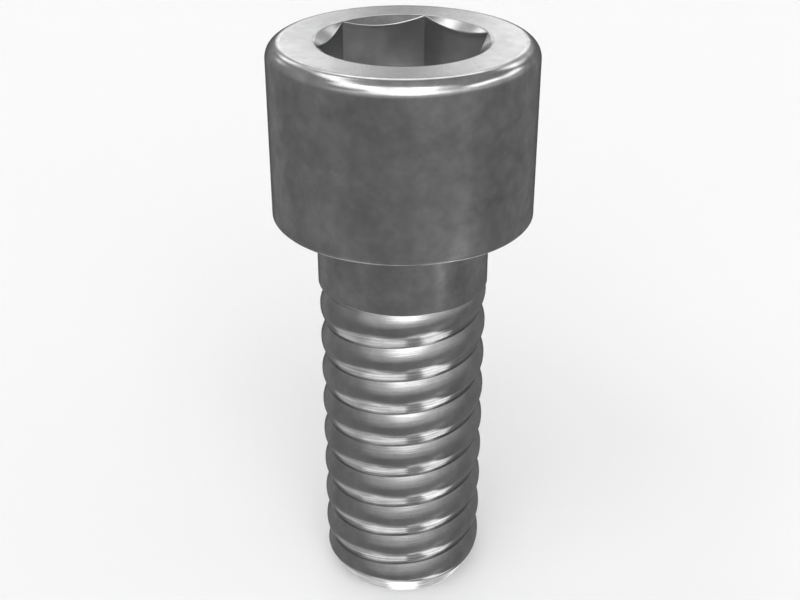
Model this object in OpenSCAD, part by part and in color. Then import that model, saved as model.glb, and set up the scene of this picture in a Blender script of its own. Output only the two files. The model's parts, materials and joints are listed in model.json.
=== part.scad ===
// Socket head bolt, 12 mm by 30 mm: one forged and turned steel piece with a rolled thread.
// The origin is the centre of the bearing face under the head. The shank runs down the Z axis,
// and two corners of the hexagon socket lie on the X axis.

/* [Head] */
// Diameter of the head
head_d = 18; // [16:0.5:24]
// Height of the head above its bearing face
head_h = 12; // [10:0.5:16]
// Radius of the rounded top edge
top_edge_r = 1.03; // [0.3:0.01:1.2]
// Width and height of the edge break round the bottom of the head
low_edge = 0.1; // [0.05:0.05:0.5]

/* [Socket] */
// Width of the hexagon across its flats
socket_af = 10; // [6:0.5:11]
// Depth of the flats below the top of the head
socket_depth = 6; // [4:0.5:7]
// How far the countersink reaches past the hexagon's corners
countersink_margin = 0.03; // [0.01:0.01:0.5]
// Angle of the countersink, from wall to wall
countersink_angle = 120; // [90:5:140]
// How far the drill point at the bottom stays inside the flats
drill_relief = 0.2; // [0.1:0.1:1]
// Angle of the drill point
drill_angle = 120; // [110:5:150]

/* [Shank] */
// Diameter of the plain shank
shank_d = 12; // [11:0.5:14]
// Length of the bolt below its bearing face
bolt_len = 30; // [20:1:50]
// Length of the plain shank between the head and the thread
plain_len = 5.25; // [2:0.25:12]
// Radius of the fillet between the shank and the head
fillet_r = 0.6; // [0.2:0.1:1]

/* [Thread] */
// How far the thread's crests lie inside the surface of the plain shank
crest_relief = 0.05; // [0.02:0.01:0.15]
// Distance from one turn of the thread to the next
pitch = 2.7; // [1.75:0.05:3.5]
// Depth of the groove below the crests
groove_depth = 0.42; // [0.3:0.02:1]
// Share of the pitch that lies between the groove below a crest and the crest itself
crest_place = 0.58; // [0.4:0.02:0.6]
// Rounding of the crests: a low number makes sharp ridges, a high one broad curves
crest_round = 0.5; // [0.2:0.05:1]
// Length over which the groove fades out below the plain shank
run_out = 0.4; // [0.2:0.1:2]
// Angle about the shank at which the groove meets the bottom of the plain shank
start_angle = 320; // [0:5:355]
// Depth, below the crests, of the relief round the top of the thread
relief_depth = 0.4; // [0.1:0.05:0.6]
// Length over which that relief tapers out
relief_h = 0.8; // [0.4:0.05:1.2]

/* [End] */
// How far the chamfer round the end cuts in from the thread's crests
tip_w = 1.05; // [0.3:0.05:1.5]
// Height of that chamfer
tip_h = 1.75; // [0.5:0.05:3]

/* [Hidden] */
steel = [0.56, 0.56, 0.57];
$fn = 96;

head_r = head_d / 2;
shank_r = shank_d / 2;
crest_r = shank_r - crest_relief;
end_r = crest_r - tip_w;
tip_slope = tip_w / tip_h;
socket_corner_r = socket_af / 2 / cos(30);
countersink_r = socket_corner_r + countersink_margin;
countersink_slope = tan(countersink_angle / 2);
countersink_h = countersink_r / countersink_slope;
drill_r = socket_af / 2 - drill_relief;
drill_h = drill_r / tan(drill_angle / 2);

// Cuts reach this far past the surface that they open
past = 1;
// The thread's solid reaches this far up inside the plain shank
seat = 0.2;

// The thread's surface has this many columns round a turn and this many rows to a pitch
turn_steps = 40;
pitch_rows = 8;
row_h = pitch / pitch_rows;
helix_rows = ceil((bolt_len - plain_len) / row_h - 0.05) - 1;
// Level rings: the top one sits inside the shank, the next at its bottom, the last at the end
seat_ring = -2;
start_ring = -1;
end_ring = helix_rows;
column_len = end_ring - seat_ring + 1;

// Rises smoothly from 0 to 1 as x goes from 0 to 1
function smooth(x) = let (s = min(max(x, 0), 1)) s * s * (3 - 2 * s);

function column_angle(column) = 360 * column / turn_steps;

// Turns of the helix between its start and a column
function turns_at(column) = (column_angle(column) - start_angle) / 360;

// Drop of a flank: 0 at the crest and 1 at the groove, curved over the crest and straight after it
function flank(x) =
    (norm([x, crest_round]) - crest_round) / (norm([1, crest_round]) - crest_round);

// Radius of the thread's surface: the helical groove, or the tapered relief where that is deeper
function thread_radius(column, z) =
    let (turns = (z + plain_len) / pitch - turns_at(column),
         place = turns - floor(turns),
         side = place < crest_place ? crest_place : 1 - crest_place,
         from_crest = abs(place - crest_place) / side,
         below = -(z + plain_len),
         groove = groove_depth * smooth(below / run_out) * flank(from_crest),
         relief = relief_depth * min(1, max(0, 1 - below / relief_h)))
    crest_r - max(groove, relief);

// How many rows of the helix a column has lost over the bottom of the plain shank
function rows_lost(column) = floor(pitch_rows * turns_at(column) + 0.0001) + 1;

// The rows between the level rings climb with the helix
function row_z(column, row) =
    row == seat_ring ? seat - plain_len :
    row == start_ring ? -plain_len :
    row == end_ring ? -bolt_len :
    pitch * turns_at(column) - plain_len - (rows_lost(column) + row) * row_h;

function thread_point(column, row) =
    let (z = row_z(column, row), r = thread_radius(column, z), a = column_angle(column))
    [r * cos(a), r * sin(a), z];

// Number of a point, counted down each column in turn
function at(column, row) = (column % turn_steps) * column_len + row - seat_ring;

// The two triangles between a row and the next, where the next column's rows are shifted up
function panel(column, row, shift) =
    let (next = column + 1)
    [
        [at(column, row), at(next, row - shift), at(column, row + 1)],
        [at(column, row + 1), at(next, row - shift), at(next, row + 1 - shift)]
    ];

// All triangles between a column and the next: a lost row leaves one triangle at each ring
function strip(column) =
    let (shift = rows_lost(column + 1) - rows_lost(column), next = column + 1)
    concat(
        panel(column, seat_ring, 0),
        shift == 0 ? [] : [
            [at(column, start_ring), at(next, start_ring), at(column, 0)],
            [at(column, end_ring), at(next, end_ring - 1), at(next, end_ring)]
        ],
        [for (row = [start_ring + shift:end_ring - 1]) each panel(column, row, shift)]
    );

module thread() {
    columns = [0:turn_steps - 1];
    points = [for (column = columns, row = [seat_ring:end_ring]) thread_point(column, row)];
    top = [for (column = columns) at(turn_steps - 1 - column, seat_ring)];
    end = [for (column = columns) at(column, end_ring)];
    polyhedron(points, concat([top, end], [for (column = columns) each strip(column)]));
}

// The chamfer's cone, with all the room above it that the thread needs
module end_envelope() {
    rotate_extrude() polygon([
        [0, -bolt_len - past],
        [end_r - past * tip_slope, -bolt_len - past],
        [crest_r + past * tip_slope, tip_h + past - bolt_len],
        [crest_r + past * tip_slope, past],
        [0, past]
    ]);
}

module threaded_shank() {
    intersection() {
        thread();
        end_envelope();
    }
}

// What the rounded top edge takes off the head's section
module top_edge_waste() {
    translate([head_r - top_edge_r, head_h - top_edge_r]) difference() {
        square(top_edge_r + past);
        circle(top_edge_r);
    }
}

// Head, fillet and plain shank as one section
module turned_section() {
    difference() {
        union() {
            square([head_r, head_h]);
            translate([0, -plain_len]) square([shank_r, plain_len]);
            translate([shank_r, -fillet_r]) square(fillet_r);
        }
        translate([shank_r + fillet_r, -fillet_r]) circle(fillet_r);
        top_edge_waste();
        translate([head_r, 0]) rotate(45) square(low_edge * sqrt(2), center = true);
    }
}

// Hexagon, countersink and drill point
module socket() {
    translate([0, 0, head_h - socket_depth])
        cylinder(r = socket_corner_r, h = socket_depth + past, $fn = 6);
    translate([0, 0, head_h - countersink_h])
        cylinder(r1 = 0, r2 = countersink_r + past * countersink_slope, h = countersink_h + past);
    translate([0, 0, head_h - socket_depth - drill_h])
        cylinder(r1 = 0, r2 = drill_r, h = drill_h);
}

module head_and_plain_shank() {
    difference() {
        rotate_extrude() turned_section();
        socket();
    }
}

module socket_head_bolt() {
    color(steel) union() {
        head_and_plain_shank();
        threaded_shank();
    }
}

socket_head_bolt();
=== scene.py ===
"""Socket head bolt, 12 mm by 30 mm: its dressed shape, its steel finishes, its stage, light and camera.

The classes hold their sizes in millimetres and degrees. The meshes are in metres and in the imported
model's frame: the origin is the centre of the bearing face, the shank runs down the Z axis, and two
corners of the hexagon lie on the X axis.
"""
import json
import logging
import math
from dataclasses import dataclass, field
from enum import Enum
from typing import Callable, Iterable, Sequence, Union

import bmesh
import bpy
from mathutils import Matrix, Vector

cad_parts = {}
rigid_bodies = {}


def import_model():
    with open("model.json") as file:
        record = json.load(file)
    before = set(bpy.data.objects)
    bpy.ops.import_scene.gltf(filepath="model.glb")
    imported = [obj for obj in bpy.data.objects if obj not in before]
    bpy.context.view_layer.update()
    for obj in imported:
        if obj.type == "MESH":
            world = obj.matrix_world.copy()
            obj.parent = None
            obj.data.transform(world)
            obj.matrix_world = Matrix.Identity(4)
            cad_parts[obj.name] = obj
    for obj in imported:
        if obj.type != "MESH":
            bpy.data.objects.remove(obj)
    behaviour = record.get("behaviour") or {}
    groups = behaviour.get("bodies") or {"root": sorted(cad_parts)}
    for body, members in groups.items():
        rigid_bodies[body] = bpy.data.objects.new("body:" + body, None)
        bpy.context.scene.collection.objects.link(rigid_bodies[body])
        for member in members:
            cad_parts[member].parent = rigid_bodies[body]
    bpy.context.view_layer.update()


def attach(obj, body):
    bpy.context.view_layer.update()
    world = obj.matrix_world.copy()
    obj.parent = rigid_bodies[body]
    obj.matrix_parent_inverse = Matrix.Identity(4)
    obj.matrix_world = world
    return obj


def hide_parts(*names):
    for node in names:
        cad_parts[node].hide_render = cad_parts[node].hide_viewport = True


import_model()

LOG = logging.getLogger("bolt")
MM = 0.001
BODY = "root"
NODE = "socket_head_bolt"

# Points closer together than this are one point, in metres
WELD = 1e-6
# A rounding takes at most this share of the room between two edges
EDGE_ROOM = 0.45

Point = tuple[float, float, float]
# A place in the bolt's section is a radius and a height, and a course gives the place at each angle
Place = tuple[float, float]
Course = Callable[[float], Place]
Grey = tuple[float, float, float]
Value = Union[bpy.types.NodeSocket, float, int]


class Zone(Enum):
    """Parts of the bolt's surface with a finish of their own, numbered as the material slots."""

    DRILL_POINT = 0
    HEXAGON = 1
    COUNTERSINK = 2
    TOP_FACE = 3
    HEAD_WALL = 4
    BEARING_FACE = 5
    PLAIN_SHANK = 6
    THREAD = 7
    END_FACE = 8


class Marks(Enum):
    """What the last tool left on a surface."""

    CLOUDED = "soft clouds and faint rings of a drawn and tumbled wall"
    TURNED = "fine rings about the axis"
    BROACHED = "scores along the axis"
    ROLLED = "lines that run with the helix"


class Graph:
    """Adds nodes to a node tree and joins them."""

    def __init__(self, tree: bpy.types.NodeTree) -> None:
        """Keeps the tree to work on.

        Args:
            tree: a shader, world or geometry node tree.
        """
        self.tree = tree

    def node(self, kind: str, **settings: object) -> bpy.types.Node:
        """Adds one node.

        Args:
            kind: the node's type name.
            settings: properties of the node to set.

        Returns:
            The new node.
        """
        made = self.tree.nodes.new(kind)
        for name, value in settings.items():
            setattr(made, name, value)
        return made

    def feed(self, target: bpy.types.NodeSocket, value: Union[Value, Sequence[float]]) -> None:
        """Links a socket to an input, or sets the input's own value.

        Args:
            target: the input.
            value: a socket, a number or a vector.
        """
        if isinstance(value, bpy.types.NodeSocket):
            self.tree.links.new(value, target)
        else:
            target.default_value = value

    def math(self, operation: str, *values: Value) -> bpy.types.NodeSocket:
        """Adds a Math node.

        Args:
            operation: the node's operation.
            values: sockets or numbers for its inputs, in order.

        Returns:
            The node's output.
        """
        made = self.node("ShaderNodeMath", operation=operation)
        for target, value in zip(made.inputs, values):
            self.feed(target, value)
        return made.outputs[0]

    def fade(self, value: Value, low: Value, high: Value) -> bpy.types.NodeSocket:
        """Rises smoothly from 0 at one value to 1 at another, which may be the lower of the two.

        Args:
            value: the number that is tested.
            low: where the result is 0.
            high: where the result is 1.

        Returns:
            The result's socket.
        """
        made = self.node("ShaderNodeMapRange", interpolation_type="SMOOTHSTEP")
        for name, number in (("Value", value), ("From Min", low), ("From Max", high)):
            self.feed(made.inputs[name], number)
        return made.outputs["Result"]

    def between(self, value: Value, low: float, high: float) -> bpy.types.NodeSocket:
        """Maps 0 to 1 linearly on a range.

        Args:
            value: a number from 0 to 1.
            low: the result at 0.
            high: the result at 1.

        Returns:
            The result's socket.
        """
        made = self.node("ShaderNodeMapRange")
        self.feed(made.inputs["Value"], value)
        made.inputs["To Min"].default_value = low
        made.inputs["To Max"].default_value = high
        return made.outputs["Result"]


# ---------------------------------------------------------------------------- shape


@dataclass(frozen=True)
class Ring:
    """One closed row of points round the axis, in millimetres, and the finish of the band after it."""

    points: tuple[Point, ...]
    zone: Zone


@dataclass(frozen=True)
class Columns:
    """The columns that all rings share, so that rings of different makers meet point to point."""

    count: int = 192

    def angle(self, column: int) -> float:
        """Returns a column's angle about the axis in radians."""
        return 2 * math.pi * (column % self.count) / self.count

    def ring(self, course: Course, zone: Zone) -> Ring:
        """Makes a ring from a course.

        Args:
            course: gives the radius and the height at each angle.
            zone: the finish of the band between this ring and the next.

        Returns:
            The ring.
        """
        points = []
        for column in range(self.count):
            angle = self.angle(column)
            radius, height = course(angle)
            points.append((radius * math.cos(angle), radius * math.sin(angle), height))
        return Ring(tuple(points), zone)

    def circle(self, radius: float, height: float, zone: Zone) -> Ring:
        """Returns a plain round ring."""
        return self.ring(lambda angle: (radius, height), zone)


COLUMNS = Columns()


def arc(centre: Place, radius: float, start: float, end: float, steps: int) -> list[Place]:
    """Samples an arc of a section.

    Args:
        centre: radius and height of its centre.
        radius: radius of the arc.
        start: angle of its first point in degrees, 0 outwards and 90 upwards.
        end: angle of its last point.
        steps: how many spans it has.

    Returns:
        Radius and height of each point, both ends included.
    """
    made = []
    for step in range(steps + 1):
        angle = math.radians(start + (end - start) * step / steps)
        made.append((centre[0] + radius * math.cos(angle), centre[1] + radius * math.sin(angle)))
    return made


@dataclass
class HexSocket:
    """The broached hexagon with its countersink above and its drill point below.

    The shares and drops are where the rings lie, close together beside an edge.
    """

    across_flats: float = 10.0
    depth: float = 6.0
    countersink_margin: float = 0.03
    countersink_half_angle: float = 60.0
    drill_relief: float = 0.2
    drill_half_angle: float = 60.0
    edge_radius: float = 0.045
    rim_radius: float = 0.05
    floor_fillet: float = 0.12
    drill_shares: tuple[float, ...] = (0.04, 0.25, 0.5, 0.75, 0.97, 1.0)
    fillet_shares: tuple[float, ...] = (0.0, 0.3, 0.7, 1.0)
    wall_drops: tuple[float, ...] = (3.2, 1.2, 0.5)
    edge_shares: tuple[float, ...] = (0.0, 0.25, 0.5, 0.75, 1.0)
    cone_shares: tuple[float, ...] = (0.12, 0.5, 0.88, 1.0)
    lip_shares: tuple[float, ...] = (0.35, 0.75)

    @property
    def rim(self) -> float:
        """Radius of the countersink where it meets the top of the head."""
        return self.across_flats / 2 / math.cos(math.radians(30)) + self.countersink_margin

    @property
    def drill_radius(self) -> float:
        """Radius of the drill point where it meets the socket's floor."""
        return self.across_flats / 2 - self.drill_relief

    @property
    def outward(self) -> float:
        """How far the countersink goes outwards for each millimetre along it."""
        return math.sin(math.radians(self.countersink_half_angle))

    @property
    def upward(self) -> float:
        """How far the countersink goes upwards for each millimetre along it."""
        return math.cos(math.radians(self.countersink_half_angle))

    def hexagon(self, angle: float) -> float:
        """Returns the hexagon's radius at an angle; its corners are at 0, 60 degrees and so on."""
        from_flat = (angle % math.radians(60)) - math.radians(30)
        return self.across_flats / 2 / math.cos(from_flat)

    def below_floor(self, radius: float) -> float:
        """Returns how far the drill point lies below the socket's floor at a radius."""
        return (self.drill_radius - radius) / math.tan(math.radians(self.drill_half_angle))

    def rings(self, top: float) -> list[Ring]:
        """Makes the rings from the drill point's tip out to the top face.

        Args:
            top: height of the top of the head.

        Returns:
            The rings, the innermost first.
        """
        return self._bottom(top - self.depth) + self._walls(top) + self._countersink(top)

    def _bottom(self, floor: float) -> list[Ring]:
        """Makes the drill point, the flat rim round it and the fillet at the foot of the walls.

        Args:
            floor: height of the socket's floor.

        Returns:
            The rings, the innermost first.
        """
        made = []
        for share in self.drill_shares:
            radius = self.drill_radius * share
            made.append(COLUMNS.circle(radius, floor - self.below_floor(radius), Zone.DRILL_POINT))
        for share in self.fillet_shares:

            def foot(angle: float, turn: float = math.radians(90 * share)) -> Place:
                """Returns a point of the fillet, turned from the floor towards the wall."""
                inset, rise = 1 - math.sin(turn), 1 - math.cos(turn)
                return self.hexagon(angle) - self.floor_fillet * inset, floor + self.floor_fillet * rise

            made.append(COLUMNS.ring(foot, Zone.HEXAGON if share else Zone.DRILL_POINT))
        return made

    def _walls(self, top: float) -> list[Ring]:
        """Makes the six walls and their rounded edge to the countersink.

        Args:
            top: height of the top of the head.

        Returns:
            The rings, the lowest first.
        """

        def wall(drop: float) -> Course:
            """Returns the course of a ring that lies a drop below the countersink."""
            return lambda angle: (self.hexagon(angle), self._crossing(angle, top) - drop)

        made = [COLUMNS.ring(wall(drop), Zone.HEXAGON) for drop in self.wall_drops]
        for share in self.edge_shares:

            def blend(angle: float, share: float = share) -> Place:
                """Returns a point of the rounded edge, a share of the way up."""
                reach = self._edge(angle)
                below, above = reach * (1 - share) ** 2, reach * share**2
                radius = self.hexagon(angle) + above * self.outward
                return radius, self._crossing(angle, top) - below + above * self.upward

            made.append(COLUMNS.ring(blend, Zone.HEXAGON if share < 0.5 else Zone.COUNTERSINK))
        return made

    def _countersink(self, top: float) -> list[Ring]:
        """Makes the countersink and the rounded rim that joins it to the top face.

        Args:
            top: height of the top of the head.

        Returns:
            The rings, the innermost first.
        """
        made = [COLUMNS.ring(self._cone(share, top), Zone.COUNTERSINK) for share in self.cone_shares]
        outer = self.rim + self.rim_radius
        for share in self.lip_shares:

            def lip(angle: float, share: float = share) -> Place:
                """Returns a point of the rounded rim, a share of the way out."""
                radius, height = self._cone(1.0, top)(angle)
                first, middle, last = (1 - share) ** 2, 2 * share * (1 - share), share**2
                return (
                    first * radius + middle * self.rim + last * outer,
                    first * height + (middle + last) * top,
                )

            made.append(COLUMNS.ring(lip, Zone.COUNTERSINK if share < 0.5 else Zone.TOP_FACE))
        made += [COLUMNS.circle(radius, top, Zone.TOP_FACE) for radius in (outer, outer + self.rim_radius)]
        return made

    def _crossing(self, angle: float, top: float) -> float:
        """Returns the height at which the countersink crosses the wall at an angle."""
        return top - (self.rim - self.hexagon(angle)) * self.upward / self.outward

    def _edge(self, angle: float) -> float:
        """Returns how far the rounding between wall and countersink reaches at an angle."""
        return min(self.edge_radius, EDGE_ROOM * (self.rim - self.hexagon(angle)) / self.outward)

    def _cone(self, share: float, top: float) -> Course:
        """Makes the course of a ring on the countersink.

        Args:
            share: the share of the way out, from 0 at the wall to 1 at the rim.
            top: height of the top of the head.

        Returns:
            The ring's course.
        """

        def place(angle: float) -> Place:
            """Returns the ring's radius and height at an angle."""
            start = self.hexagon(angle) + self._edge(angle) * self.outward
            end = self.rim - min(self.rim_radius, EDGE_ROOM * (self.rim - start))
            radius = start + (end - start) * share
            return radius, top - (self.rim - radius) * self.upward / self.outward

        return place


@dataclass
class Head:
    """The cylindrical head: top face, rounded top edge, wall, edge break and bearing face.

    The insets, levels and shares are where the rings lie, close together beside an edge.
    """

    diameter: float = 18.0
    height: float = 12.0
    top_edge_radius: float = 1.03
    low_edge: float = 0.1
    corner: float = 0.02
    shrink: float = 0.005
    top_insets: tuple[float, ...] = (1.4, 0.7, 0.25, 0.06)
    edge_steps: int = 18
    below_edge: float = 0.15
    wall_levels: tuple[float, ...] = (8.4, 4.8, 1.0, 0.45)
    bearing_shares: tuple[float, ...] = (0.04, 0.35, 0.7, 0.96)

    def rings(self, bearing_radius: float) -> list[Ring]:
        """Makes the rings from the top face to the inside of the bearing face.

        Args:
            bearing_radius: radius at which the bearing face meets the fillet.

        Returns:
            The rings, the one nearest the socket first.
        """
        radius = self.diameter / 2 - self.shrink
        edge = self.top_edge_radius
        inner = radius - edge
        made = [COLUMNS.circle(inner - inset, self.height, Zone.TOP_FACE) for inset in self.top_insets]
        rounding = arc((inner, self.height - edge), edge, 90, 0, self.edge_steps)
        made += [COLUMNS.circle(*place, Zone.HEAD_WALL) for place in rounding]
        levels = (self.height - edge - self.below_edge, *self.wall_levels)
        made += [COLUMNS.circle(radius, level, Zone.HEAD_WALL) for level in levels]
        low, corner = self.low_edge, self.corner
        # The edge break, whose two corners are rounded in two steps each
        section = [
            (radius, low + corner),
            (radius - 0.3 * corner, low),
            (radius - corner, low - corner),
            (radius - low + corner, corner),
            (radius - low, 0.3 * corner),
            (radius - low - corner, 0.0),
        ]
        made += [COLUMNS.circle(*place, Zone.HEAD_WALL) for place in section[:-1]]
        made.append(COLUMNS.circle(*section[-1], Zone.BEARING_FACE))
        outer = section[-1][0]
        width = outer - bearing_radius
        for share in self.bearing_shares:
            made.append(COLUMNS.circle(outer - share * width, 0.0, Zone.BEARING_FACE))
        return made


@dataclass
class PlainShank:
    """The unthreaded shank with its fillet under the head."""

    diameter: float = 12.0
    length: float = 5.25
    fillet_radius: float = 0.6
    fillet_steps: int = 10
    corner: float = 0.03
    depths: tuple[float, ...] = (0.9, 2.2, 3.6)
    above_corner: float = 0.3

    @property
    def fillet_top_radius(self) -> float:
        """Radius at which the fillet meets the bearing face."""
        return self.diameter / 2 + self.fillet_radius

    def rings(self, thread_radius: float) -> list[Ring]:
        """Makes the rings from the fillet to the top of the thread.

        Args:
            thread_radius: radius of the thread's crests.

        Returns:
            The rings, the topmost first.
        """
        radius = self.diameter / 2
        centre = (self.fillet_top_radius, -self.fillet_radius)
        fillet = arc(centre, self.fillet_radius, 90, 180, self.fillet_steps)
        made = [COLUMNS.circle(*place, Zone.PLAIN_SHANK) for place in fillet]
        for depth in (*self.depths, self.length - self.above_corner, self.length - 3 * self.corner):
            made.append(COLUMNS.circle(radius, -depth, Zone.PLAIN_SHANK))
        # The lower corner is rounded in two steps
        for inset, rise in ((0.0, self.corner), (0.35 * self.corner, 0.35 * self.corner)):
            made.append(COLUMNS.circle(radius - inset, rise - self.length, Zone.PLAIN_SHANK))
        made.append(COLUMNS.circle(thread_radius, -self.length, Zone.THREAD))
        return made


@dataclass
class RolledThread:
    """The thread: round crests between narrow grooves, one right-hand turn for each pitch.

    The crest place is the share of the pitch between a crest and the groove below it.
    """

    crest_radius: float = 5.95
    pitch: float = 2.7
    groove_depth: float = 0.41
    crest_place: float = 0.525
    crest_round: float = 0.5
    run_out: float = 0.06
    undercut: float = 0.3
    undercut_height: float = 0.7
    undercut_curve: float = 1.3
    undercut_blend: float = 0.08
    start_angle: float = 320.0
    end_radius: float = 4.9
    tip_height: float = 1.75
    edge_softness: float = 0.12
    rows: int = 30
    crowding: float = 0.5

    def build(self, top: float, end: float, steel: bpy.types.Material) -> bpy.types.Mesh:
        """Makes the thread with Geometry Nodes and bakes it.

        Args:
            top: depth below the bearing face at which the thread starts.
            end: depth of the bolt's end.
            steel: the thread's material.

        Returns:
            A plain mesh, open at its top and bottom rings.
        """
        holder = bpy.data.objects.new("thread_rule", bpy.data.meshes.new("thread_rule"))
        bpy.context.scene.collection.objects.link(holder)
        rule = holder.modifiers.new("thread_rule", "NODES")
        sizes = {
            "Columns": COLUMNS.count,
            "Rows": self.rows,
            "Crowding": self.crowding,
            "Pitch": self.pitch * MM,
            "Crest radius": self.crest_radius * MM,
            "Groove depth": self.groove_depth * MM,
            "Crest place": self.crest_place,
            "Crest round": self.crest_round,
            "Run-out": self.run_out * MM,
            "Undercut": self.undercut * MM,
            "Undercut height": self.undercut_height * MM,
            "Undercut curve": self.undercut_curve,
            "Undercut blend": self.undercut_blend * MM,
            "Start angle": math.radians(self.start_angle),
            "Top": -top * MM,
            "End": -end * MM,
            "End radius": self.end_radius * MM,
            "Tip slope": (self.crest_radius - self.end_radius) / self.tip_height,
            "Edge softness": self.edge_softness * MM,
            "Steel": steel,
        }
        rule.node_group = self._tree(sizes)
        for socket in rule.node_group.interface.items_tree:
            if socket.in_out == "INPUT":
                rule[socket.identifier] = sizes[socket.name]
        graph = bpy.context.evaluated_depsgraph_get()
        mesh = bpy.data.meshes.new_from_object(holder.evaluated_get(graph), depsgraph=graph)
        bpy.data.objects.remove(holder)
        return mesh

    def _tree(self, sizes: dict[str, object]) -> bpy.types.NodeTree:
        """Builds the tree that turns a flat grid into the helical surface.

        Args:
            sizes: the value of each input; its type gives the input's kind.

        Returns:
            The tree, with a named input for each size.
        """
        tree = bpy.data.node_groups.new("rolled_thread", "GeometryNodeTree")
        kinds = {int: "NodeSocketInt", float: "NodeSocketFloat"}
        for name, value in sizes.items():
            kind = kinds.get(type(value), "NodeSocketMaterial")
            tree.interface.new_socket(name, in_out="INPUT", socket_type=kind)
        tree.interface.new_socket("Thread", in_out="OUTPUT", socket_type="NodeSocketGeometry")
        graph = Graph(tree)
        given = graph.node("NodeGroupInput").outputs

        start = graph.math("DIVIDE", given["Start angle"], 2 * math.pi)
        length = graph.math("SUBTRACT", given["Top"], given["End"])
        turns = graph.math("ADD", graph.math("DIVIDE", length, given["Pitch"]), 1.0)
        first = graph.math(
            "FLOOR", graph.math("MULTIPLY", graph.math("SUBTRACT", start, turns), given["Columns"])
        )
        last = graph.math("CEIL", graph.math("MULTIPLY", start, given["Columns"]))
        grid = graph.node("GeometryNodeMeshGrid")
        graph.feed(grid.inputs["Vertices X"], graph.math("ADD", graph.math("SUBTRACT", last, first), 1))
        per_column = graph.math("ADD", given["Rows"], 1)
        graph.feed(grid.inputs["Vertices Y"], per_column)

        index = graph.node("GeometryNodeInputIndex").outputs[0]
        column = graph.math("ADD", first, graph.math("FLOOR", graph.math("DIVIDE", index, per_column)))
        row = graph.math("DIVIDE", graph.math("MODULO", index, per_column), given["Rows"])
        wave = graph.math("SINE", graph.math("MULTIPLY", row, 2 * math.pi))
        crowd = graph.math("DIVIDE", graph.math("MULTIPLY", wave, given["Crowding"]), 2 * math.pi)
        across = graph.math("SUBTRACT", row, crowd)

        turn = graph.math("DIVIDE", column, given["Columns"])
        climb = graph.math("ADD", graph.math("SUBTRACT", turn, start), across)
        free = graph.math("MULTIPLY_ADD", climb, given["Pitch"], given["Top"])
        height = graph.math("MAXIMUM", graph.math("MINIMUM", free, given["Top"]), given["End"])

        place = given["Crest place"]
        away = graph.math("SUBTRACT", across, place)
        lower = graph.math("DIVIDE", graph.math("MULTIPLY", away, -1.0), place)
        upper = graph.math("DIVIDE", away, graph.math("SUBTRACT", 1.0, place))
        from_crest = graph.math("MAXIMUM", lower, upper)
        form = self._flank(graph, from_crest, given["Crest round"])
        below = graph.math("SUBTRACT", given["Top"], height)
        grown = graph.fade(below, 0.0, given["Run-out"])
        deep = graph.math("MULTIPLY", form, given["Groove depth"])
        groove = graph.math("MULTIPLY", deep, grown)
        left = graph.math("SUBTRACT", 1.0, graph.math("DIVIDE", below, given["Undercut height"]))
        taper = graph.math("POWER", graph.math("MAXIMUM", left, 0.0), given["Undercut curve"])
        relief = graph.math("MULTIPLY", taper, given["Undercut"])
        cut = graph.math("SMOOTH_MAX", groove, relief, given["Undercut blend"])
        rolled = graph.math("SUBTRACT", given["Crest radius"], cut)
        rise = graph.math("SUBTRACT", height, given["End"])
        cone = graph.math("MULTIPLY_ADD", rise, given["Tip slope"], given["End radius"])
        radius = graph.math("SMOOTH_MIN", rolled, cone, given["Edge softness"])

        angle = graph.math("MULTIPLY", graph.math("FRACT", turn), 2 * math.pi)
        point = graph.node("ShaderNodeCombineXYZ")
        graph.feed(point.inputs[0], graph.math("MULTIPLY", radius, graph.math("COSINE", angle)))
        graph.feed(point.inputs[1], graph.math("MULTIPLY", radius, graph.math("SINE", angle)))
        graph.feed(point.inputs[2], height)
        moved = graph.node("GeometryNodeSetPosition")
        graph.feed(moved.inputs["Geometry"], grid.outputs["Mesh"])
        graph.feed(moved.inputs["Position"], point.outputs[0])

        shape = moved.outputs[0]
        for name, value in (("from_crest", from_crest), ("lower_flank", lower)):
            kept = graph.node("GeometryNodeStoreNamedAttribute", data_type="FLOAT", domain="POINT")
            graph.feed(kept.inputs["Geometry"], shape)
            kept.inputs["Name"].default_value = name
            graph.feed(kept.inputs["Value"], value)
            shape = kept.outputs[0]
        welded = graph.node("GeometryNodeMergeByDistance")
        graph.feed(welded.inputs["Geometry"], shape)
        welded.inputs["Distance"].default_value = WELD
        real = graph.node("GeometryNodeRealizeInstances")
        graph.feed(real.inputs[0], welded.outputs[0])
        dressed = graph.node("GeometryNodeSetMaterial")
        graph.feed(dressed.inputs["Geometry"], real.outputs[0])
        graph.feed(dressed.inputs["Material"], given["Steel"])
        graph.feed(graph.node("NodeGroupOutput").inputs[0], dressed.outputs[0])
        return tree

    def _flank(
        self, graph: Graph, share: bpy.types.NodeSocket, rounding: bpy.types.NodeSocket
    ) -> bpy.types.NodeSocket:
        """Adds the drop of a flank, curved over the crest and nearly straight after it.

        Args:
            graph: the thread's tree.
            share: 0 at the crest and 1 at the groove.
            rounding: how broad the curve over the crest is.

        Returns:
            The drop, 0 at the crest and 1 at the groove.
        """
        squared = graph.math("MULTIPLY", rounding, rounding)
        drops = []
        for value in (share, 1.0):
            reach = graph.math("SQRT", graph.math("MULTIPLY_ADD", value, value, squared))
            drops.append(graph.math("SUBTRACT", reach, rounding))
        return graph.math("DIVIDE", *drops)


@dataclass
class FlatEnd:
    """The flat end inside the tip's chamfer."""

    depth: float = 29.999
    corner: float = 0.05
    edge_inset: float = 0.2
    shares: tuple[float, ...] = (0.4, 0.7, 0.96)

    def rings(self, radius: float) -> list[Ring]:
        """Makes the rings from the chamfer's edge to the middle of the end.

        Args:
            radius: radius of the chamfer's edge.

        Returns:
            The rings, the outermost first.
        """
        insets = (0.0, self.corner, self.edge_inset, *(share * radius for share in self.shares))
        return [COLUMNS.circle(radius - inset, -self.depth, Zone.END_FACE) for inset in insets]


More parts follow.
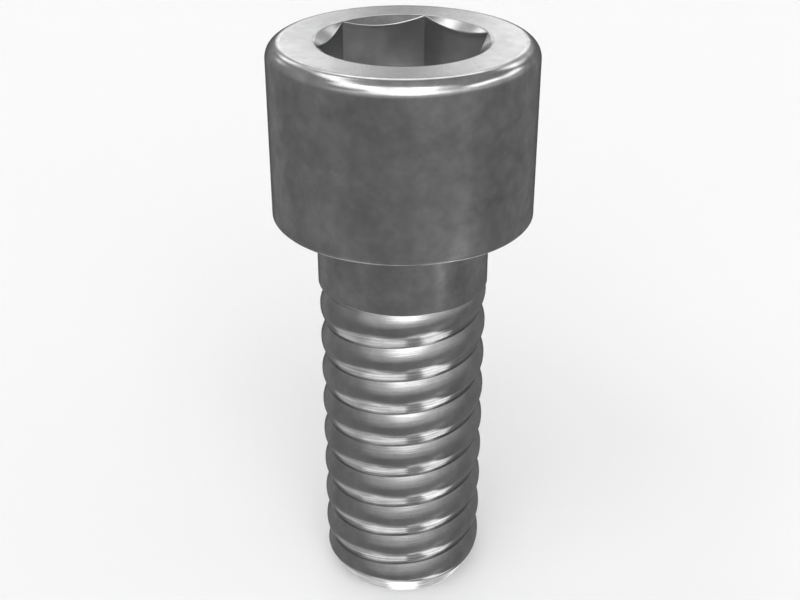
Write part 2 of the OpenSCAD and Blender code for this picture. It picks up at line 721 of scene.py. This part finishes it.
# ------------------------------------------------------------------------- finishes


# The finer clouds inside the broad ones: their size and their weight
VEIL_SIZE = 0.31
VEIL_WEIGHT = 0.5
# A noise stays within about a quarter of its middle value, so its clouds are spread by this factor
NOISE_SPREAD = 4.0


@dataclass(frozen=True)
class SteelFinish:
    """One finish of the bolt's steel: tone, gloss, clouding and the marks of its tool.

    Sizes, heights and spacings are in millimetres. The painted shade at the groove's root and the
    streaks are a rolled finish's alone.
    """

    name: str
    tone: Grey = (0.51, 0.51, 0.516)
    roughness: float = 0.19
    marks: Marks = Marks.CLOUDED
    cloud_size: float = 2.8
    cloud_tone: float = 0.17
    cloud_gloss: float = 0.04
    grain_size: float = 0.16
    grain_height: float = 0.0015
    mark_spacing: float = 0.12
    mark_height: float = 0.002
    mark_tone: float = 0.03
    mark_gloss: float = 0.01
    edge_tint: float = 0.8
    # Painted shade: the tone's factor at the bottom of a thread's groove, where shade falls
    groove_shade_factor: float = 0.62
    streaks: float = 2.0

    def material(self) -> bpy.types.Material:
        """Builds the node material.

        Returns:
            The new material.
        """
        made = bpy.data.materials.new(self.name)
        made.use_nodes = True
        made.node_tree.nodes.clear()
        graph = Graph(made.node_tree)
        shader = graph.node("ShaderNodeBsdfPrincipled")
        shader.inputs["Metallic"].default_value = 1.0
        shader.inputs["Specular Tint"].default_value = (self.edge_tint,) * 3 + (1.0,)
        place = graph.node("ShaderNodeTexCoord").outputs["Object"]

        clouds = self._noise(graph, place, self.cloud_size, detail=5.0, rough=0.62)
        veil = self._noise(graph, place, self.cloud_size * VEIL_SIZE, detail=3.0, rough=0.5)
        cloud = graph.math("MULTIPLY_ADD", graph.math("SUBTRACT", veil, 0.5), VEIL_WEIGHT, clouds)
        cloud = graph.math("MULTIPLY", graph.math("SUBTRACT", cloud, 0.5), NOISE_SPREAD)
        marks = self._marks(graph, place)
        tint = graph.math("MULTIPLY_ADD", cloud, self.cloud_tone, 1.0)
        tint = graph.math("MULTIPLY", tint, graph.between(marks, 1 - self.mark_tone, 1 + self.mark_tone))
        tint = self._rolled_streaks_and_groove_shade(graph, tint, marks)
        colour = graph.node("ShaderNodeMix", data_type="RGBA", blend_type="MULTIPLY")
        colour.inputs["Factor"].default_value = 1.0
        colour.inputs["A"].default_value = (*self.tone, 1.0)
        graph.feed(colour.inputs["B"], tint)
        graph.feed(shader.inputs["Base Color"], colour.outputs["Result"])

        rough = graph.math("MULTIPLY_ADD", cloud, -self.cloud_gloss, self.roughness)
        rough = graph.math("ADD", rough, graph.between(marks, -self.mark_gloss, self.mark_gloss))
        graph.feed(shader.inputs["Roughness"], rough)

        grain = self._noise(graph, place, self.grain_size, detail=2.0, rough=0.6)
        relief = graph.math("MULTIPLY", grain, self.grain_height * MM)
        relief = graph.math("MULTIPLY_ADD", marks, self.mark_height * MM, relief)
        bump = graph.node("ShaderNodeBump")
        bump.inputs["Distance"].default_value = 1.0
        graph.feed(bump.inputs["Height"], relief)
        graph.feed(shader.inputs["Normal"], bump.outputs[0])
        graph.feed(graph.node("ShaderNodeOutputMaterial").inputs["Surface"], shader.outputs[0])
        return made

    def _noise(
        self, graph: Graph, place: bpy.types.NodeSocket, size: float, detail: float, rough: float
    ) -> bpy.types.NodeSocket:
        """Adds a noise whose spots are about as large as asked.

        Args:
            graph: the material's tree.
            place: coordinates in metres.
            size: size of the spots in millimetres.
            detail: number of finer layers.
            rough: weight of the finer layers.

        Returns:
            The noise's value, about 0.5.
        """
        made = graph.node("ShaderNodeTexNoise")
        graph.feed(made.inputs["Vector"], place)
        made.inputs["Scale"].default_value = 1 / (size * MM)
        made.inputs["Detail"].default_value = detail
        made.inputs["Roughness"].default_value = rough
        return made.outputs["Fac"]

    def _marks(self, graph: Graph, place: bpy.types.NodeSocket) -> bpy.types.NodeSocket:
        """Adds the lines that the tool left: a noise drawn out along them.

        The noise is fine across the lines and changes slowly, by the numbers here, along them.

        Args:
            graph: the material's tree.
            place: coordinates in metres.

        Returns:
            The lines' value, about 0.5.
        """
        parts = graph.node("ShaderNodeSeparateXYZ")
        graph.feed(parts.inputs[0], place)
        x, y, z = parts.outputs
        step = self.mark_spacing * MM
        square = graph.math("ADD", graph.math("MULTIPLY", x, x), graph.math("MULTIPLY", y, y))
        radius = graph.math("SQRT", square)
        angle = graph.math("ARCTAN2", y, x)
        if self.marks is Marks.TURNED:
            across, along = radius, graph.math("MULTIPLY", angle, 0.6)
        elif self.marks is Marks.BROACHED:
            across = graph.math("MULTIPLY", angle, HexSocket.across_flats / 2 * MM)
            along = graph.math("DIVIDE", z, 4.0 * MM)
        elif self.marks is Marks.ROLLED:
            climb = graph.math("MULTIPLY", angle, RolledThread.pitch * MM / (2 * math.pi))
            across, along = graph.math("SUBTRACT", z, climb), graph.math("MULTIPLY", angle, 1.5)
        else:
            across, along = z, graph.math("MULTIPLY", angle, 0.8)
        lines = graph.node("ShaderNodeCombineXYZ")
        graph.feed(lines.inputs[0], graph.math("DIVIDE", across, step))
        graph.feed(lines.inputs[1], along)
        made = graph.node("ShaderNodeTexNoise")
        graph.feed(made.inputs["Vector"], lines.outputs[0])
        made.inputs["Scale"].default_value = 1.0
        made.inputs["Detail"].default_value = 3.0
        made.inputs["Roughness"].default_value = 0.55
        return made.outputs["Fac"]

    def _rolled_streaks_and_groove_shade(
        self, graph: Graph, tint: bpy.types.NodeSocket, marks: bpy.types.NodeSocket
    ) -> bpy.types.NodeSocket:
        """Paints shade into the bottom of the thread's grooves and streaks the flanks that face down.

        Args:
            graph: the material's tree.
            tint: the tone's factor so far.
            marks: the value of the lines that the rolling dies left.

        Returns:
            The factor, changed on a rolled finish alone.
        """
        if self.marks is not Marks.ROLLED:
            return tint
        depth, lower = (
            graph.node("ShaderNodeAttribute", attribute_name=name).outputs["Fac"]
            for name in ("from_crest", "lower_flank")
        )
        # The painted shade covers the root, the last few hundredths of a flank, and the streaks grow from
        # the crest down
        root = graph.fade(depth, 0.96, 0.985)
        tint = graph.math("MULTIPLY", tint, graph.between(root, 1.0, self.groove_shade_factor))
        streak = graph.math("MULTIPLY", graph.math("SUBTRACT", marks, 0.5), self.streaks)
        streak = graph.math("MULTIPLY_ADD", streak, graph.fade(lower, 0.0, 0.4), 1.0)
        return graph.math("MULTIPLY", tint, streak)


FINISHES = {
    Zone.DRILL_POINT: SteelFinish(
        "drilled_steel", tone=(0.5, 0.5, 0.505), marks=Marks.TURNED, roughness=0.34, mark_height=0.004
    ),
    Zone.HEXAGON: SteelFinish(
        "broached_steel_painted_light",
        # Painted light: the walls' tone is lighter than the rest of the steel, so the deep socket reads
        # brighter than its light makes it
        tone=(0.65, 0.65, 0.652),
        marks=Marks.BROACHED,
        roughness=0.23,
        cloud_gloss=0.02,
        grain_height=0.0,
        mark_spacing=0.7,
        mark_height=0.0015,
    ),
    Zone.COUNTERSINK: SteelFinish("countersunk_steel", marks=Marks.TURNED, roughness=0.17),
    Zone.TOP_FACE: SteelFinish(
        "faced_steel",
        marks=Marks.TURNED,
        roughness=0.17,
        cloud_tone=0.08,
        grain_size=0.11,
        grain_height=0.007,
    ),
    Zone.HEAD_WALL: SteelFinish("head_wall_steel", cloud_tone=0.26, cloud_size=3.2),
    Zone.BEARING_FACE: SteelFinish("bearing_face_steel", marks=Marks.TURNED, roughness=0.33),
    Zone.PLAIN_SHANK: SteelFinish("plain_shank_steel", roughness=0.17, cloud_tone=0.22),
    Zone.THREAD: SteelFinish(
        "rolled_thread_steel", marks=Marks.ROLLED, roughness=0.17, mark_spacing=0.2, mark_height=0.006
    ),
    Zone.END_FACE: SteelFinish("end_face_steel", marks=Marks.TURNED, roughness=0.33),
}


# ---------------------------------------------------------------------- the whole bolt


@dataclass
class Bolt:
    """The whole bolt as one closed steel piece."""

    socket: HexSocket = field(default_factory=HexSocket)
    head: Head = field(default_factory=Head)
    shank: PlainShank = field(default_factory=PlainShank)
    thread: RolledThread = field(default_factory=RolledThread)
    end: FlatEnd = field(default_factory=FlatEnd)
    sharp_from: float = 38.0

    def build(self) -> bpy.types.Object:
        """Builds the bolt's one piece and gives it its place in the frame.

        Returns:
            The piece.
        """
        steels = [FINISHES[zone].material() for zone in Zone]
        LOG.info("finishes: %s", ", ".join(steel.name for steel in steels))
        upper = self.socket.rings(self.head.height)
        upper += self.head.rings(self.shank.fillet_top_radius)
        upper += self.shank.rings(self.thread.crest_radius - self.thread.undercut)
        lower = self.end.rings(self.thread.end_radius)
        drill_tip = self.head.height - self.socket.depth - self.socket.below_floor(0.0)
        work = bmesh.new()
        self._shell(work, upper, first_pole=drill_tip)
        self._shell(work, lower, last_pole=-self.end.depth)
        thread = self.thread.build(self.shank.length, self.end.depth, steels[Zone.THREAD.value])
        LOG.info("thread: %d faces", len(thread.polygons))
        work.from_mesh(thread)
        for face in work.faces:
            face.smooth = True
        self._number_thread_faces(work)
        bmesh.ops.remove_doubles(work, verts=work.verts, dist=WELD)
        bmesh.ops.recalc_face_normals(work, faces=work.faces)
        open_edges = sum(1 for edge in work.edges if not edge.is_manifold)
        LOG.info("bolt body: %d faces, %d open edges, %.1f cubic mm", len(work.faces), open_edges,
                 work.calc_volume() / MM**3)
        mesh = bpy.data.meshes.new("bolt_body")
        for steel in steels:
            mesh.materials.append(steel)
        work.to_mesh(mesh)
        work.free()
        mesh.set_sharp_from_angle(angle=math.radians(self.sharp_from))
        piece = bpy.data.objects.new("bolt_body", mesh)
        bpy.context.scene.collection.objects.link(piece)
        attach(piece, BODY)
        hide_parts(NODE)
        return piece

    def _shell(
        self,
        work: bmesh.types.BMesh,
        rings: Sequence[Ring],
        first_pole: Union[float, None] = None,
        last_pole: Union[float, None] = None,
    ) -> None:
        """Skins a row of rings, from inside the socket outwards and then down the shank.

        Args:
            work: the mesh under construction.
            rings: the rings in order.
            first_pole: height of the point that closes the first ring, if any.
            last_pole: height of the point that closes the last ring, if any.
        """
        rows = [[work.verts.new(Vector(point) * MM) for point in ring.points] for ring in rings]
        count = COLUMNS.count
        for ring, near, far in zip(rings, rows, rows[1:]):
            for column in range(count):
                after = (column + 1) % count
                face = work.faces.new((near[column], far[column], far[after], near[after]))
                face.material_index = ring.zone.value
        for height, row, zone, inward in (
            (first_pole, rows[0], rings[0].zone, False),
            (last_pole, rows[-1], rings[-1].zone, True),
        ):
            if height is None:
                continue
            tip = work.verts.new((0, 0, height * MM))
            for column in range(count):
                pair = (row[column], row[(column + 1) % count])
                face = work.faces.new((tip, *pair) if not inward else (tip, *reversed(pair)))
                face.material_index = zone.value

    def _number_thread_faces(self, work: bmesh.types.BMesh) -> None:
        """Gives the faces between the plain shank and the end the number of the thread's slot.

        Args:
            work: the mesh under construction.
        """
        top, end, slack = -self.shank.length * MM, -self.end.depth * MM, WELD / 10
        for face in work.faces:
            heights = [vert.co.z for vert in face.verts]
            highest, lowest = max(heights), min(heights)
            if end + slack < highest <= top + slack and lowest >= end - slack:
                face.material_index = Zone.THREAD.value


# --------------------------------------------------------------- stage, light, camera


@dataclass
class PaleFloor:
    """The plain pale floor that the bolt stands on."""

    level: float = -30.0
    radius: float = 3000.0
    tone: Grey = (0.93, 0.93, 0.93)

    def build(self) -> bpy.types.Object:
        """Builds the floor.

        Returns:
            The floor.
        """
        work = bmesh.new()
        bmesh.ops.create_circle(work, cap_ends=True, segments=96, radius=self.radius * MM)
        bmesh.ops.translate(work, verts=work.verts, vec=(0, 0, self.level * MM))
        mesh = bpy.data.meshes.new("floor")
        work.to_mesh(mesh)
        work.free()
        mesh.materials.append(self._paper())
        floor = bpy.data.objects.new("floor", mesh)
        bpy.context.scene.collection.objects.link(floor)
        floor.visible_glossy = False
        return floor

    def _paper(self) -> bpy.types.Material:
        """Makes matt paper that is clear from below, so that the bolt's end can be seen.

        Returns:
            The material.
        """
        made = bpy.data.materials.new("pale_paper")
        made.use_nodes = True
        made.node_tree.nodes.clear()
        graph = Graph(made.node_tree)
        paper = graph.node("ShaderNodeBsdfDiffuse")
        paper.inputs["Color"].default_value = (*self.tone, 1.0)
        mix = graph.node("ShaderNodeMixShader")
        graph.feed(mix.inputs[0], graph.node("ShaderNodeNewGeometry").outputs["Backfacing"])
        graph.feed(mix.inputs[1], paper.outputs[0])
        graph.feed(mix.inputs[2], graph.node("ShaderNodeBsdfTransparent").outputs[0])
        graph.feed(graph.node("ShaderNodeOutputMaterial").inputs["Surface"], mix.outputs[0])
        return made


class PanelShape(Enum):
    """Outline of a soft panel."""

    ROUND = "ellipse"
    SQUARE = "rectangle"


@dataclass(frozen=True)
class SoftPanel:
    """A flat soft-edged panel, placed by its direction from the bolt and sized by its half angles.

    Azimuth is counted from the camera's side, positive to the camera's right. A negative strength
    is a flag that takes light away.
    """

    azimuth: float
    elevation: float
    half_width: float
    half_height: float
    strength: float
    softness: float = 0.2
    shape: PanelShape = PanelShape.ROUND


@dataclass(frozen=True)
class GroundPatch:
    """A lit rectangle straight below the bolt, which the undersides of the thread's crests reflect.

    Its sides are shares of a direction: left to right as the camera sees them, then back to front.
    """

    left: float
    right: float
    back: float
    front: float
    strength: float


@dataclass
class Studio:
    """The room round the bolt: a grey surround and ground with soft panels and lit patches.

    The horizon and the nadir are heights of a direction, from where a fade starts to where it ends.
    """

    facing: float = -45.15
    surround: float = 0.31
    ground: float = 0.27
    darkest: float = 0.02
    horizon: tuple[float, float] = (0.10, -0.06)
    nadir: tuple[float, float] = (-0.62, -0.74)
    side_blur: float = 0.03
    front_blur: float = 0.04
    panels: tuple[SoftPanel, ...] = (
        SoftPanel(-3, 51, 23, 17, 2.41, 0.15, PanelShape.SQUARE),
        SoftPanel(4, 28, 26, 13, 2.7, 0.65),
        SoftPanel(0, 25, 56, 11, 0.5, 0.8),
        SoftPanel(-50, 49, 16, 13, 2.06, 0.3),
        SoftPanel(36, 50, 13, 12, 1.12, 0.5),
        SoftPanel(-5, 12, 44, 15, 0.34, 0.9),
        SoftPanel(-98, 61, 24, 6, 2.15, 0.3, PanelShape.SQUARE),
        SoftPanel(-144, 57, 6, 7, 1.29, 0.5),
        SoftPanel(-105, 26, 50, 18, 0.13, 0.8),
        SoftPanel(0, 88, 30, 30, 0.21, 0.8),
        SoftPanel(77, 32, 15, 6, 2.15, 0.35, PanelShape.SQUARE),
        SoftPanel(108, 27, 13, 6, 1.81, 0.35, PanelShape.SQUARE),
        SoftPanel(50, 28, 15, 10, 0.5, 0.7),
        SoftPanel(75, 18, 42, 13, 0.34, 0.8),
        SoftPanel(143, 35, 9, 7, 1.98, 0.5),
        SoftPanel(158, 23, 9, 9, 0.39, 0.6),
        SoftPanel(-149, 42, 6, 9, 0.56, 0.6),
        SoftPanel(-155, 30, 6, 5, 2.15, 0.5),
        SoftPanel(-136, 24, 6, 5, 0.95, 0.6),
        SoftPanel(180, 40, 13, 9, 2.58, 0.6),
        SoftPanel(180, 17, 22, 10, 0.12, 0.6),
        SoftPanel(172, 16.5, 6, 8, 1.9, 0.5),
        SoftPanel(-172, 16.5, 6, 8, 1.75, 0.5),
        SoftPanel(40, -20, 26, 26, 0.05, 0.7),
        SoftPanel(52, -31, 7, 7, 0.18, 0.7),
        SoftPanel(-30, -25, 12, 20, -0.03, 0.8),
        SoftPanel(84, -25, 10, 20, -0.04, 0.8),
        SoftPanel(162, -15, 10, 20, -0.12, 0.8),
        SoftPanel(-162, -15, 10, 20, -0.12, 0.8),
        SoftPanel(-134, -15, 16, 25, 0.07, 0.8),
        SoftPanel(134, -15, 16, 25, 0.03, 0.8),
    )
    patches: tuple[GroundPatch, ...] = (
        GroundPatch(-0.46, 0.08, -0.08, 0.47, 1.12),
        GroundPatch(-0.46, 0.06, 0.53, 0.62, 0.43),
        GroundPatch(-0.85, -0.46, -0.50, 0.60, 0.55),
        GroundPatch(0.05, 0.36, -0.16, 0.47, 0.17),
        GroundPatch(0.32, 0.57, -0.16, 0.50, 1.72),
        GroundPatch(0.10, 0.55, 0.50, 0.66, 0.77),
        GroundPatch(-0.26, 0.26, -0.75, -0.12, 0.95),
        GroundPatch(-0.11, 0.12, -0.34, -0.12, 2.06),
        GroundPatch(0.08, 0.25, -0.80, -0.60, 0.69),
    )

    def build(self) -> bpy.types.World:
        """Builds the world's node tree.

        Returns:
            The world.
        """
        world = bpy.data.worlds.new("studio")
        bpy.context.scene.world = world
        world.use_nodes = True
        world.cycles.sampling_method = "NONE"
        world.node_tree.nodes.clear()
        graph = Graph(world.node_tree)
        way = graph.node("ShaderNodeTexCoord").outputs["Generated"]
        height = self._along(graph, way, Vector((0, 0, 1)))
        light = graph.between(graph.fade(height, *self.horizon), self.surround, self.ground)
        for panel in self.panels:
            light = graph.math("ADD", light, self._panel(graph, panel, way))
        below = graph.fade(height, *self.nadir)
        side, front = (self._along(graph, way, self._aim(azimuth, 0)) for azimuth in (90, 0))
        for patch in self.patches:
            lit = graph.math("MULTIPLY", below, patch.strength)
            for share, low, high, blur in (
                (side, patch.left, patch.right, self.side_blur),
                (front, patch.back, patch.front, self.front_blur),
            ):
                lit = graph.math("MULTIPLY", lit, graph.fade(share, low - blur, low + blur))
                lit = graph.math("MULTIPLY", lit, graph.fade(share, high + blur, high - blur))
            light = graph.math("ADD", light, lit)
        light = graph.math("MAXIMUM", light, self.darkest)
        camera = graph.node("ShaderNodeLightPath").outputs["Is Camera Ray"]
        seen = graph.math("MULTIPLY_ADD", graph.math("SUBTRACT", 1.0, camera), light, camera)
        glow = graph.node("ShaderNodeBackground")
        graph.feed(glow.inputs["Strength"], seen)
        graph.feed(graph.node("ShaderNodeOutputWorld").inputs["Surface"], glow.outputs[0])
        return world

    def _aim(self, azimuth: float, elevation: float) -> Vector:
        """Returns the direction at an azimuth from the camera's side and an elevation."""
        turn, rise = math.radians(self.facing + azimuth), math.radians(elevation)
        return Vector((math.cos(turn) * math.cos(rise), math.sin(turn) * math.cos(rise), math.sin(rise)))

    def _along(self, graph: Graph, way: bpy.types.NodeSocket, axis: Vector) -> bpy.types.NodeSocket:
        """Adds the share of a direction that lies along an axis.

        Args:
            graph: the world's tree.
            way: the direction.
            axis: a unit vector.

        Returns:
            Their dot product.
        """
        made = graph.node("ShaderNodeVectorMath", operation="DOT_PRODUCT")
        graph.feed(made.inputs[0], way)
        made.inputs[1].default_value = axis
        return made.outputs["Value"]

    def _panel(self, graph: Graph, panel: SoftPanel, way: bpy.types.NodeSocket) -> bpy.types.NodeSocket:
        """Adds one panel.

        Args:
            graph: the world's tree.
            panel: the panel.
            way: the direction that is looked in.

        Returns:
            The panel's light in each direction.
        """
        middle = self._aim(panel.azimuth, panel.elevation)
        side = self._aim(panel.azimuth + 90, 0)
        ahead = graph.math("MAXIMUM", self._along(graph, way, middle), 0.001)
        spans = []
        for axis, half in ((side, panel.half_width), (side.cross(middle), panel.half_height)):
            off = graph.math("DIVIDE", self._along(graph, way, axis), ahead)
            spans.append(graph.math("DIVIDE", off, math.tan(math.radians(half))))
        low, high = 1 + panel.softness, 1 - panel.softness
        if panel.shape is PanelShape.ROUND:
            across, up = (graph.math("MULTIPLY", span, span) for span in spans)
            mask = graph.fade(graph.math("SQRT", graph.math("ADD", across, up)), low, high)
        else:
            across, up = (graph.fade(graph.math("ABSOLUTE", span), low, high) for span in spans)
            mask = graph.math("MULTIPLY", across, up)
        return graph.math("MULTIPLY", mask, panel.strength)


@dataclass
class PhotoCamera:
    """The camera at the photograph's viewing angle."""

    place: Point = (55.893, -56.169, 35.56)
    looking: Point = (-0.622244, 0.622244, -0.474999)
    lens: float = 56.27
    sensor: float = 36.0

    def build(self) -> bpy.types.Object:
        """Builds the camera and makes it the scene's own.

        Returns:
            The camera.
        """
        data = bpy.data.cameras.new("photo_camera")
        data.lens, data.sensor_width = self.lens, self.sensor
        data.clip_start, data.clip_end = 1 * MM, 10.0
        camera = bpy.data.objects.new("photo_camera", data)
        camera.location = Vector(self.place) * MM
        camera.rotation_euler = Vector(self.looking).to_track_quat("-Z", "Y").to_euler()
        bpy.context.scene.collection.objects.link(camera)
        bpy.context.scene.camera = camera
        return camera


def main() -> None:
    """Builds the bolt, then its stage, light and camera."""
    logging.basicConfig(level=logging.INFO, format="%(name)s: %(message)s")
    bpy.context.scene.view_settings.view_transform = "Standard"
    piece = Bolt().build()
    LOG.info("piece %s built", piece.name)
    for part in (PaleFloor(), Studio(), PhotoCamera()):
        LOG.info("%s built", part.build().name)


if __name__ == "__main__":
    main()
